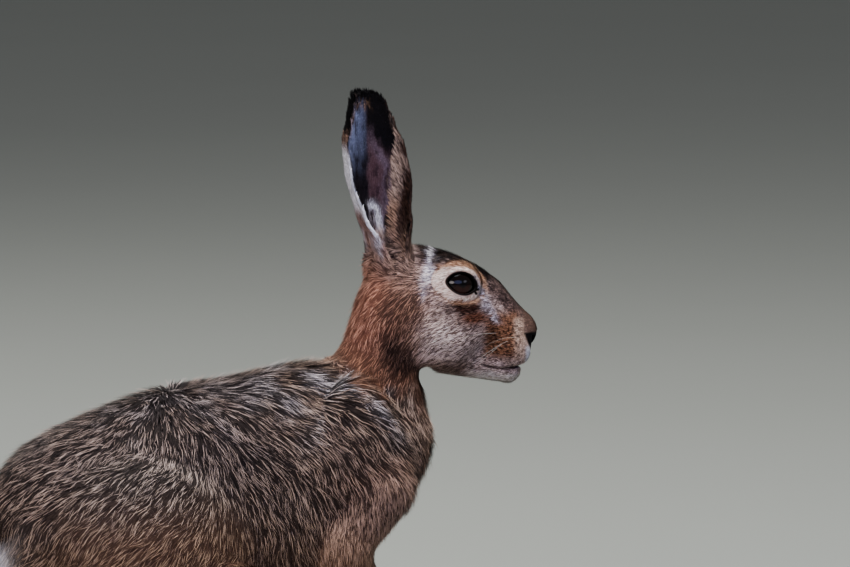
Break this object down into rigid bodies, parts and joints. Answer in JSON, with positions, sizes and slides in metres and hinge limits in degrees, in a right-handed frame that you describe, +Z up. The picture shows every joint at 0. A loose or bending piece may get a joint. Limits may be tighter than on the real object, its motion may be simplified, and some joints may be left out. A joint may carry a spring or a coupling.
{
  "type": "brown hare, still life-size model",
  "caption": "Life-size still model of a brown hare sitting half upright, ears raised, head turned a little to its right, standing on flat soles.",
  "frame": {"origin": "middle of the underside of the hare's own box, on the floor that its soles stand on", "axes": "+X is the way the trunk faces, +Y is the hare's left, +Z is up"},
  "size_m": [0.4332, 0.1616, 0.376],
  "materials": {
    "coat": "short dense fur, grizzled brown, grey and buff",
    "back_coat": "longer crimped fur, black below with buff and silver tips",
    "neck_coat": "soft rust-coloured fur",
    "ear_coat": "thin skin with very short fur, pale rim and black tip",
    "pale_coat": "short buff fur over the feet",
    "tail_coat": "soft fur, black above and white below",
    "eye": "wet, dark brown iris with a black pupil",
    "claw": "dark horn"
  },
  "bodies": {
    "root": {"head": "coat", "ear_right": "ear_coat", "ear_left": "ear_coat", "eye_right": "eye", "eye_left": "eye", "neck": "neck_coat", "torso": "back_coat", "tail": "tail_coat", "thigh_right": "coat", "thigh_left": "coat", "hindfoot_right": "pale_coat", "hindfoot_left": "pale_coat", "foreleg_right": "neck_coat", "foreleg_left": "neck_coat", "forepaw_right": "pale_coat", "forepaw_left": "pale_coat"}
  },
  "joints": []
}
